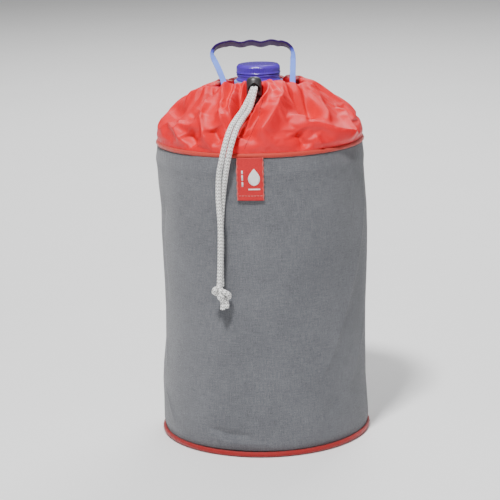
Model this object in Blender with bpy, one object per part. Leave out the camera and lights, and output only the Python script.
"""Insulated drawstring carrier holding a large drinking-water bottle.

Metres, +Z up. The origin is the centre of the base on the ground, and -Y is the front, where the cord lock,
the drawcord tails and the label are.
"""

from math import cos, exp, hypot, pi, radians, sin

import bmesh
import bpy
from mathutils import Matrix, Vector

# Bag
BAG_RADIUS = 0.0958
BODY_TOP = 0.2739
BODY_BOTTOM = 0.0048
PANEL = 0.0010
FOAM = 0.0060
LINING = 0.0008
GAP = 0.0003
BASE_RADIUS = 0.0930
PIPING_RADIUS = 0.0020
PIPING_CORE_RADIUS = 0.0012
PIPING_FLANGE = 0.0050
TOP_PIPING = (0.0938, 0.2763)
BOTTOM_PIPING = (0.0968, 0.0024)
TAPE = 0.0005
COLLAR = 0.0010
LABEL = 0.0008
LABEL_BOTTOM = 0.2358

# Drawcord and cord lock
CORD_RADIUS = 0.0025
LOCK_CENTRE = Vector((-0.0040, -0.0446, 0.3277))
LOCK_LEAN = radians(20.9)
LOCK_RADIUS = 0.0070
LOCK_TOP = 0.0114
LOCK_BOTTOM = -0.0065
LOCK_BORE = 0.0049
PLUNGER_RADIUS = 0.0046
PLUNGER_TRAVEL = 0.0028
SPRING_TURNS = 3.0

# Bottle
BOTTLE_RADIUS = 0.0835
BOTTLE_WALL = 0.0008
NECK_TOP = 0.3428
NECK_RADIUS = 0.0166
CAP_RADIUS = 0.0200
CAP_BOTTOM = 0.3378
CAP_TOP = 0.3460
CAP_WALL = 0.0014
PIVOT_HEIGHT = 0.3225
PIVOT_X = 0.0315
PIN_RADIUS = 0.0016
EYE_RADIUS = 0.0041
EYE_HALF = 0.00265
HANDLE_LEAN = radians(-22.0)

ROUND_STEPS = 40
COLLAR_STEPS = 48
SMALL_STEPS = 20


def material(name, colour, roughness, metallic=0.0):
    """A Principled material of one colour."""
    made = bpy.data.materials.new(name)
    made.use_nodes = True
    shader = made.node_tree.nodes["Principled BSDF"]
    shader.inputs["Base Color"].default_value = (*colour, 1.0)
    shader.inputs["Roughness"].default_value = roughness
    shader.inputs["Metallic"].default_value = metallic
    return made


def add_object(name, bm, finish, parent=None):
    """Closes a bmesh into an object with outward faces and its own copy of a material."""
    bmesh.ops.recalc_face_normals(bm, faces=bm.faces[:])
    mesh = bpy.data.meshes.new(name)
    bm.to_mesh(mesh)
    bm.free()
    mesh.materials.append(finish)
    mesh.shade_smooth()
    mesh.set_sharp_from_angle(angle=radians(40))
    obj = bpy.data.objects.new(name, mesh)
    bpy.context.scene.collection.objects.link(obj)
    if parent:
        obj.parent = parent
    return obj


def add_empty(name, location, rotation=(0.0, 0.0, 0.0), parent=None):
    """An empty that holds a joint axis."""
    empty = bpy.data.objects.new(name, None)
    empty.location = location
    empty.rotation_euler = rotation
    if parent:
        empty.parent = parent
    bpy.context.scene.collection.objects.link(empty)
    return empty


def turned(profile, steps):
    """Spins a closed (radius, height) outline once round Z; a radius of 0 is a point on the axis."""
    bm = bmesh.new()
    verts = [bm.verts.new((r, 0.0, z)) for r, z in profile]
    on_axis = [r < 1e-9 for r, z in profile]
    edges = []
    for i in range(len(verts)):
        j = (i + 1) % len(verts)
        if not (on_axis[i] and on_axis[j]):
            edges.append(bm.edges.new((verts[i], verts[j])))
    bmesh.ops.spin(
        bm, geom=verts + edges, cent=(0, 0, 0), axis=(0, 0, 1), angle=2 * pi, steps=steps, use_merge=True
    )
    bmesh.ops.remove_doubles(bm, verts=bm.verts[:], dist=1e-6)
    return bm


def tube_outline(inner, outer, bottom, top):
    """The outline of a plain tube wall."""
    return [(inner, bottom), (outer, bottom), (outer, top), (inner, top)]


def disc_outline(radius, bottom, top):
    """The outline of a plain disc."""
    return [(0.0, bottom), (radius, bottom), (radius, top), (0.0, top)]


def lofted(sections):
    """Bridges equal rings of points into one closed body with flat ends."""
    bm = bmesh.new()
    rings = [[bm.verts.new(point) for point in section] for section in sections]
    count = len(rings[0])
    for low, high in zip(rings, rings[1:]):
        for i in range(count):
            j = (i + 1) % count
            bm.faces.new((low[i], low[j], high[j], high[i]))
    bm.faces.new(rings[0])
    bm.faces.new(rings[-1])
    return bm


def smooth_route(points, spacing):
    """Reads evenly spaced points from the smooth curve through a hand-chosen route."""
    ends = [2 * points[0] - points[1]] + points + [2 * points[-1] - points[-2]]
    fine = []
    for a, b, c, d in zip(ends, ends[1:], ends[2:], ends[3:]):
        for k in range(24):
            t = k / 24
            linear, square, cube = c - a, 2 * a - 5 * b + 4 * c - d, 3 * b - a - 3 * c + d
            fine.append(0.5 * (2 * b + linear * t + square * t * t + cube * t**3))
    fine.append(points[-1])
    length = sum((q - p).length for p, q in zip(fine, fine[1:]))
    count = max(2, round(length / spacing))
    picked, walked, at = [fine[0]], 0.0, 1
    for p, q in zip(fine, fine[1:]):
        walked += (q - p).length
        while at < count and walked >= at * length / count:
            picked.append(q)
            at += 1
    return picked + [fine[-1]]


def add_cord(name, points, radius, finish, parent=None):
    """A cord as a bevelled curve with filled caps."""
    curve = bpy.data.curves.new(name, "CURVE")
    curve.dimensions = "3D"
    curve.bevel_depth = radius
    curve.bevel_resolution = 2
    curve.use_fill_caps = True
    spline = curve.splines.new("POLY")
    spline.points.add(len(points) - 1)
    for target, point in zip(spline.points, points):
        target.co = (*point, 1.0)
    curve.materials.append(finish)
    obj = bpy.data.objects.new(name, curve)
    bpy.context.scene.collection.objects.link(obj)
    if parent:
        obj.parent = parent
        obj.matrix_parent_inverse = parent.matrix_basis.inverted()
    return obj


def shape_with(obj, tool, operation, solver="EXACT"):
    """Joins a tool to an object or cuts it away; the tool stays as a hidden guide."""
    tool.hide_render = True
    tool.display_type = "WIRE"
    change = obj.modifiers.new(tool.name, "BOOLEAN")
    change.operation = operation
    change.solver = solver
    change.object = tool


def turn_about(bm, angle, axis):
    """Turns a shape about an axis through the origin."""
    bmesh.ops.rotate(bm, verts=bm.verts[:], cent=(0, 0, 0), matrix=Matrix.Rotation(angle, 3, axis))


def block(low, high):
    """A box between two corners."""
    bm = bmesh.new()
    bmesh.ops.create_cube(bm, size=1.0)
    for vert in bm.verts:
        vert.co = [low[i] + (vert.co[i] + 0.5) * (high[i] - low[i]) for i in range(3)]
    return bm


# ---------------------------------------------------------------- bag body


def piping_outline(centre):
    """Bias tape folded round a core, as an open hook whose two flanges point inwards."""
    middle, height = centre
    outer, inner = PIPING_RADIUS, PIPING_RADIUS - TAPE
    flange = 0.00065
    slit = 0.00015
    points = [(-PIPING_FLANGE, flange)]
    for k in range(6):
        angle = radians(160 - k * 320 / 5)
        points.append((outer * cos(angle), outer * sin(angle)))
    points += [(-PIPING_FLANGE, -flange), (-PIPING_FLANGE, -slit)]
    for k in range(6):
        angle = radians(-173 + k * 346 / 5)
        points.append((inner * cos(angle), inner * sin(angle)))
    points.append((-PIPING_FLANGE, slit))
    return [(middle + x, height + z) for x, z in points]


def core_outline(centre):
    """The round core cord inside a piping."""
    middle, height = centre
    angles = [k * pi / 3 for k in range(6)]
    return [(middle + PIPING_CORE_RADIUS * cos(a), height + PIPING_CORE_RADIUS * sin(a)) for a in angles]


def make_bag(finish):
    panel_inner = BAG_RADIUS - PANEL
    foam_outer = panel_inner - GAP
    foam_inner = foam_outer - FOAM
    lining_outer = foam_inner - GAP
    lining_inner = lining_outer - LINING
    base_foam_low = PANEL + GAP
    base_foam_high = base_foam_low + FOAM
    base_lining_low = base_foam_high + GAP
    inside = lining_inner - GAP

    side = tube_outline(panel_inner, BAG_RADIUS, BODY_BOTTOM, BODY_TOP)
    add_object("outer_side_panel", turned(side, ROUND_STEPS), finish["grey_fabric"])
    foam = tube_outline(foam_inner, foam_outer, 0.0034, BODY_TOP - 0.0002)
    add_object("side_foam", turned(foam, ROUND_STEPS), finish["foam"])
    lining = tube_outline(lining_inner, lining_outer, base_foam_low, BODY_TOP - 0.0005)
    add_object("inner_side_lining", turned(lining, ROUND_STEPS), finish["lining"])

    base = disc_outline(BASE_RADIUS, 0.0, PANEL)
    add_object("outer_base_panel", turned(base, ROUND_STEPS), finish["grey_fabric"])
    base_foam = disc_outline(inside, base_foam_low, base_foam_high)
    add_object("base_foam", turned(base_foam, ROUND_STEPS), finish["foam"])
    base_lining = disc_outline(inside, base_lining_low, base_lining_low + LINING)
    add_object("inner_base_lining", turned(base_lining, ROUND_STEPS), finish["lining"])

    for name, centre in (("top_piping", TOP_PIPING), ("bottom_piping", BOTTOM_PIPING)):
        tape = turned(piping_outline(centre), ROUND_STEPS)
        add_object(name + "_tape", tape, finish["red_tape"])
        add_object(name + "_core", turned(core_outline(centre), ROUND_STEPS), finish["cord"])


def make_label(finish):
    """The sewn label, bent to the panel it lies on, with its top edge under the top piping."""
    inner = BAG_RADIUS + GAP
    outer = inner + LABEL
    left, right, steps = radians(-12.5), radians(1.4), 4
    sections = []
    for k in range(steps + 1):
        angle = left + (right - left) * k / steps
        sections.append(
            [
                (r * sin(angle), -r * cos(angle), z)
                for r, z in tube_outline(inner, outer, LABEL_BOTTOM, BODY_TOP)
            ]
        )
    add_object("label", lofted(sections), finish["red_tape"])


# ---------------------------------------------------------------- collar

# The outer face of the collar as (radius, height), from the top seam up to the lip of the mouth.
COLLAR_OUTER = [
    (0.0950, 0.2790),
    (0.0952, 0.2850),
    (0.0942, 0.2920),
    (0.0908, 0.3000),
    (0.0848, 0.3070),
    (0.0764, 0.3140),
    (0.0668, 0.3205),
    (0.0568, 0.3262),
    (0.0505, 0.3290),
    (0.0450, 0.3302),
]
# The hem turned in over the drawcord, as an open hook, and back inside to the wall it is sewn to.
COLLAR_HEM = [(0.0405, 0.3285), (0.0395, 0.3245), (0.0408, 0.3213), (0.0440, 0.3203), (0.0500, 0.3228)]
COLLAR_HEM_INNER = [(0.0496, 0.3238), (0.0443, 0.3213), (0.0415, 0.3221), (0.0405, 0.3247), (0.0411, 0.3278)]

# The pleat that the cord lock and the tails lie in, as (x, y, depth, half width) along its bottom.
VALLEY = [
    (-0.0065, -0.0600, 0.0150, 0.0080),
    (-0.0120, -0.0680, 0.0125, 0.0075),
    (-0.0180, -0.0790, 0.0110, 0.0070),
    (-0.0240, -0.0890, 0.0040, 0.0060),
]
VALLEY_END = 0.0940


def valley_depth(x, y):
    """How far the collar is pressed down at a place in plan."""
    best = 0.0
    for start, end in zip(VALLEY, VALLEY[1:]):
        ax, ay, a_depth, a_width = start
        bx, by, b_depth, b_width = end
        run = (bx - ax) ** 2 + (by - ay) ** 2
        t = max(0.0, min(1.0, ((x - ax) * (bx - ax) + (y - ay) * (by - ay)) / run))
        away = hypot(x - ax - t * (bx - ax), y - ay - t * (by - ay))
        depth = a_depth + t * (b_depth - a_depth)
        width = a_width + t * (b_width - a_width)
        best = max(best, depth * exp(-((away / (1.35 * width)) ** 4)))
    return best * max(0.0, min(1.0, (VALLEY_END - hypot(x, y)) / 0.008))


def collar_inner():
    """The inner face of the collar, one fabric thickness inside the outer face, from the lip down."""
    inner = []
    for (ra, za), (rb, zb) in zip(COLLAR_OUTER, COLLAR_OUTER[1:]):
        run = hypot(rb - ra, zb - za)
        inner.append(((ra + rb) / 2 - COLLAR * (zb - za) / run, (za + zb) / 2 + COLLAR * (rb - ra) / run))
    first = (COLLAR_OUTER[0][0] - COLLAR, COLLAR_OUTER[0][1])
    return [*reversed(inner), first]


# The break in the hem at the front, where both ends of the drawcord come out of the channel.
HEM_BREAK_LOW = (-0.0210, -0.0585, 0.2900)
HEM_BREAK_HIGH = (0.0130, -0.0300, 0.3500)


def make_collar(finish):
    bm = turned(COLLAR_OUTER + COLLAR_HEM + COLLAR_HEM_INNER + collar_inner(), COLLAR_STEPS)
    for vert in bm.verts:
        vert.co.z -= valley_depth(vert.co.x, vert.co.y)
    collar = add_object("drawstring_collar", bm, finish["red_nylon"])
    gap = add_object("hem_break_cutter", block(HEM_BREAK_LOW, HEM_BREAK_HIGH), finish["red_nylon"])
    shape_with(collar, gap, "DIFFERENCE", "MANIFOLD")


# ---------------------------------------------------------------- drawcord and cord lock

# The middle of the two tails, from the front of the cord lock to the knot.
TAIL_ROUTE = [
    Vector(point)
    for point in (
        (-0.0040, -0.0520, 0.3305),
        (-0.0046, -0.0575, 0.3292),
        (-0.0075, -0.0625, 0.3215),
        (-0.0118, -0.0690, 0.3130),
        (-0.0175, -0.0795, 0.3070),
        (-0.0228, -0.0905, 0.3000),
        (-0.0275, -0.0985, 0.2880),
        (-0.0310, -0.0995, 0.2740),
        (-0.0338, -0.0965, 0.2590),
        (-0.0356, -0.0945, 0.2400),
        (-0.0362, -0.0950, 0.2170),
        (-0.0366, -0.0945, 0.1970),
        (-0.0374, -0.0930, 0.1790),
        (-0.0380, -0.0945, 0.1600),
    )
]
STRAND_OFFSET = 0.00282
STRAND_TURN = radians(72)
KNOT_CENTRE = Vector((-0.0375, -0.0970, 0.1510))
KNOT_HALF_SIZE = Vector((0.0085, 0.0056, 0.0062))


def tail(side):
    """One strand of the pair: side by side at both ends, one in front of the other half way down."""
    strand = []
    for point in TAIL_ROUTE:
        along = max(0.0, min(1.0, (0.290 - point.z) / 0.130))
        turn = STRAND_TURN * sin(pi * along) ** 2
        outward = Vector((point.x, point.y, 0)).normalized()
        across = Vector((-outward.y, outward.x, 0))
        strand.append(point + STRAND_OFFSET * side * (across * cos(turn) - outward * sin(turn)))
    return strand


def channel_route():
    """The loop in the hem: out of the back of the cord lock, round the mouth and back into it."""
    height = 0.3250
    radius = 0.0442
    front = Vector((-0.0040, -0.0374, 0.3249))
    turn = [Vector((0.0028, 0.0, 0.0)), Vector((0.0034, 0.0032, 0.0)), Vector((0.0078, 0.0034, 0.0))]
    right = [front + step for step in turn]
    left = [front + Vector((-step.x, step.y, step.z)) for step in reversed(turn)]
    angles = [radians(degrees) for degrees in range(15, 336, 9)]
    ring = [Vector((radius * sin(angle), -radius * cos(angle), height)) for angle in angles]
    return smooth_route(right + ring + left, 0.0070)


def make_cord_lock(finish):
    lean = (-LOCK_LEAN, 0.0, 0.0)
    lock = add_empty("cord_lock_axis", LOCK_CENTRE, lean)
    shell = [
        (0.0, LOCK_TOP),
        (0.0036, LOCK_TOP - 0.0005),
        (0.0060, LOCK_TOP - 0.0020),
        (LOCK_RADIUS, LOCK_TOP - 0.0044),
        (LOCK_RADIUS, LOCK_BOTTOM),
        (LOCK_BORE, LOCK_BOTTOM),
        (LOCK_BORE, 0.0075),
        (0.0, 0.0075),
    ]
    black = finish["black_plastic"]
    housing = add_object("cord_lock_housing", turned(shell, SMALL_STEPS), black, lock)
    cord_hole = block((-0.0056, -0.0100, -0.0029), (0.0056, 0.0100, 0.0029))
    shape_with(housing, add_object("cord_hole_cutter", cord_hole, black, lock), "DIFFERENCE")

    head_top = LOCK_BOTTOM - PLUNGER_TRAVEL - GAP
    stem = [
        (0.0, 0.0020),
        (PLUNGER_RADIUS, 0.0020),
        (PLUNGER_RADIUS, head_top),
        (0.0064, head_top),
        (0.0064, -0.0136),
        (0.0050, -0.0150),
        (0.0, -0.0150),
    ]
    plunger = add_object("cord_lock_plunger", turned(stem, SMALL_STEPS), black, lock)
    plunger_hole = block((-0.0036, -0.0100, -0.0058), (0.0036, 0.0100, -0.0004))
    shape_with(plunger, add_object("plunger_hole_cutter", plunger_hole, black, lock), "DIFFERENCE")

    low, high, coil, wire = 0.0026, 0.0069, 0.0035, 0.00035
    steps = 10
    count = int(SPRING_TURNS * steps)
    turns = []
    for k in range(count + 1):
        angle = 2 * pi * k / steps
        turns.append(Vector((coil * cos(angle), coil * sin(angle), low + (high - low) * k / count)))
    spring = add_cord("cord_lock_spring", turns, wire, finish["steel"])
    spring.data.bevel_resolution = 1
    spring.parent = lock

    for name, side in (("drawcord_left_tail", -1), ("drawcord_right_tail", 1)):
        add_cord(name, smooth_route(tail(side), 0.0080), CORD_RADIUS, finish["cord"])
    add_cord("drawcord_channel_loop", channel_route(), CORD_RADIUS, finish["cord"])


def make_knot(finish):
    bm = bmesh.new()
    bmesh.ops.create_icosphere(bm, subdivisions=3, radius=1.0)
    for vert in bm.verts:
        lump = 1.0 + 0.08 * sin(3 * vert.co.x + 1.0) * cos(4 * vert.co.z)
        vert.co = KNOT_CENTRE + vert.co * KNOT_HALF_SIZE * lump
    add_object("drawcord_knot", bm, finish["cord"])
    for name, side in (("drawcord_left_end", -1), ("drawcord_right_end", 1)):
        top = KNOT_CENTRE + Vector((side * 0.0034, 0.0, -0.0068))
        route = [top, top + Vector((side * 0.0004, 0.0, -0.0030)), top + Vector((side * 0.0010, 0.0, -0.0062))]
        add_cord(name, route, CORD_RADIUS, finish["cord"])


# ---------------------------------------------------------------- bottle

# The outer face of the bottle as (radius, height), from the middle of its base to the rim of its neck.
BOTTLE_OUTER = [
    (0.0, 0.0180),
    (0.0680, 0.0090),
    (0.0780, 0.0090),
    (BOTTLE_RADIUS, 0.0160),
    (BOTTLE_RADIUS, 0.2450),
    (0.0805, 0.2590),
    (0.0725, 0.2720),
    (0.0605, 0.2830),
    (0.0450, 0.2920),
    (0.0300, 0.2990),
    (0.0215, 0.3060),
    (0.0185, 0.3160),
    (0.0225, 0.3162),
    (0.0225, 0.3182),
    (0.0177, 0.3184),
    (0.0177, 0.3305),
    (NECK_RADIUS, 0.3312),
    (NECK_RADIUS, NECK_TOP),
]
BOTTLE_INNER = [
    (0.0150, NECK_TOP),
    (0.0150, 0.3184),
    (0.0176, 0.3120),
    (0.0208, 0.3052),
    (0.0295, 0.2982),
    (0.0446, 0.2912),
    (0.0600, 0.2823),
    (0.0719, 0.2713),
    (0.0797, 0.2586),
    (BOTTLE_RADIUS - BOTTLE_WALL, 0.2449),
    (BOTTLE_RADIUS - BOTTLE_WALL, 0.0164),
    (0.0777, 0.0098),
    (0.0683, 0.0098),
    (0.0, 0.0188),
]

# The handle seen square on, as (x, height above the pivots, depth across the wall, width in its own plane).
HANDLE_ROUTE = [
    (-0.0315, 0.0030, 0.0025, 0.0053),
    (-0.0324, 0.0090, 0.0025, 0.0053),
    (-0.0366, 0.0200, 0.0026, 0.0053),
    (-0.0402, 0.0280, 0.0028, 0.0053),
    (-0.0421, 0.0325, 0.0040, 0.0052),
    (-0.0417, 0.0366, 0.0065, 0.0048),
    (-0.0380, 0.0402, 0.0095, 0.0038),
    (-0.0325, 0.0417, 0.0118, 0.0030),
]
HANDLE_ROUTE_RIGHT = [
    (0.0222, 0.0417, 0.0118, 0.0030),
    (0.0274, 0.0402, 0.0095, 0.0038),
    (0.0310, 0.0370, 0.0065, 0.0048),
    (0.0322, 0.0325, 0.0040, 0.0052),
    (0.0322, 0.0280, 0.0028, 0.0053),
    (0.0316, 0.0180, 0.0026, 0.0053),
    (0.0312, 0.0090, 0.0025, 0.0053),
    (0.0315, 0.0030, 0.0025, 0.0053),
]
GRIP_START = -0.0300
GRIP_END = 0.0198
GRIP_PITCH = 0.0187
GRIP_CREST = -0.0250
GRIP_WAVE = 0.0012


def handle_stations():
    """All stations of the handle, with the finger waves of the grip between its two corners."""
    grip = []
    count = 14
    for k in range(count + 1):
        x = GRIP_START + (GRIP_END - GRIP_START) * k / count
        wave = GRIP_WAVE * cos(2 * pi * (x - GRIP_CREST) / GRIP_PITCH)
        grip.append((x, 0.0432 + 0.5 * wave, 0.0120, 0.0034 + 0.6 * wave))
    return HANDLE_ROUTE + grip + HANDLE_ROUTE_RIGHT


def handle_sections():
    """Rounded sections square to the handle's route."""
    stations = handle_stations()
    sections = []
    for k, (x, z, depth, width) in enumerate(stations):
        before = stations[max(0, k - 1)]
        after = stations[min(len(stations) - 1, k + 1)]
        run = hypot(after[0] - before[0], after[1] - before[1])
        nx, nz = -(after[1] - before[1]) / run, (after[0] - before[0]) / run
        ring = []
        for u, v in ((-1, -0.6), (-0.85, -1), (0.85, -1), (1, -0.6), (1, 0.6), (0.85, 1), (-0.85, 1), (-1, 0.6)):
            ring.append((x + nx * v * width / 2, u * depth / 2, z + nz * v * width / 2))
        sections.append(ring)
    return sections


def make_handle(finish):
    ring_axis = add_empty("handle_ring_axis", (0.0, 0.0, PIVOT_HEIGHT))
    blue = finish["blue_plastic"]
    hoop = turned(tube_outline(0.0180, 0.0223, 0.3188 - PIVOT_HEIGHT, 0.3308 - PIVOT_HEIGHT), ROUND_STEPS)
    ring = add_object("handle_ring", hoop, blue, ring_axis)
    for side in (-1, 1):
        lug = block((0.0205, -0.0034, -0.0034), (0.0265, 0.0034, 0.0034))
        pin = turned(disc_outline(PIN_RADIUS, 0.0250, 0.0352), 16)
        turn_about(pin, pi / 2, "Y")
        for label, shape in (("lug", lug), ("pin", pin)):
            if side < 0:
                turn_about(shape, pi, "Z")
            shape_with(ring, add_object(f"{label}_shape_{side}", shape, blue, ring_axis), "UNION")

    swing_axis = add_empty("handle_axis", (0.0, 0.0, 0.0), (HANDLE_LEAN, 0.0, 0.0), ring_axis)
    handle = add_object("handle", lofted(handle_sections()), blue, swing_axis)
    for side in (-1, 1):
        eye = turned(disc_outline(EYE_RADIUS, PIVOT_X - EYE_HALF, PIVOT_X + EYE_HALF), 16)
        bore = turned(disc_outline(PIN_RADIUS + GAP, 0.0255, 0.0375), 16)
        for label, shape, operation in (("eye", eye, "UNION"), ("bore", bore, "DIFFERENCE")):
            turn_about(shape, side * pi / 2, "Y")
            shape_with(handle, add_object(f"{label}_shape_{side}", shape, blue, swing_axis), operation)


def make_bottle(finish):
    add_object("bottle", turned(BOTTLE_OUTER + BOTTLE_INNER, ROUND_STEPS), finish["pet"])
    band = tube_outline(0.0180, CAP_RADIUS, 0.3312, 0.3374)
    add_object("tamper_band", turned(band, ROUND_STEPS), finish["violet_plastic"])

    cap_axis = add_empty("cap_axis", (0.0, 0.0, CAP_BOTTOM))
    top = CAP_TOP - CAP_BOTTOM
    ceiling = top - CAP_WALL
    cap = [
        (0.0, top),
        (CAP_RADIUS - 0.0008, top),
        (CAP_RADIUS, top - 0.0008),
        (CAP_RADIUS, 0.0),
        (0.0181, 0.0),
        (0.0181, ceiling),
        (0.0, ceiling),
    ]
    add_object("screw_cap", turned(cap, ROUND_STEPS), finish["violet_plastic"], cap_axis)
    seal = disc_outline(0.0172, ceiling - GAP - 0.0012, ceiling - GAP)
    add_object("cap_seal", turned(seal, SMALL_STEPS), finish["lining"], cap_axis)


def build():
    for old in list(bpy.data.objects):
        bpy.data.objects.remove(old, do_unlink=True)
    finish = {
        "grey_fabric": material("grey_fabric", (0.16, 0.165, 0.18), 0.85),
        "foam": material("foam", (0.85, 0.85, 0.82), 0.9),
        "lining": material("lining", (0.72, 0.73, 0.75), 0.6),
        "red_nylon": material("red_nylon", (0.80, 0.02, 0.03), 0.4),
        "red_tape": material("red_tape", (0.72, 0.06, 0.03), 0.75),
        "cord": material("cord", (0.85, 0.84, 0.80), 0.8),
        "black_plastic": material("black_plastic", (0.015, 0.015, 0.017), 0.35),
        "steel": material("steel", (0.6, 0.6, 0.62), 0.3, 1.0),
        "pet": material("pet", (0.75, 0.85, 0.95), 0.1),
        "blue_plastic": material("blue_plastic", (0.38, 0.50, 0.90), 0.35),
        "violet_plastic": material("violet_plastic", (0.08, 0.05, 0.45), 0.3),
    }
    make_bag(finish)
    make_label(finish)
    make_collar(finish)
    make_cord_lock(finish)
    make_knot(finish)
    make_bottle(finish)
    make_handle(finish)


build()
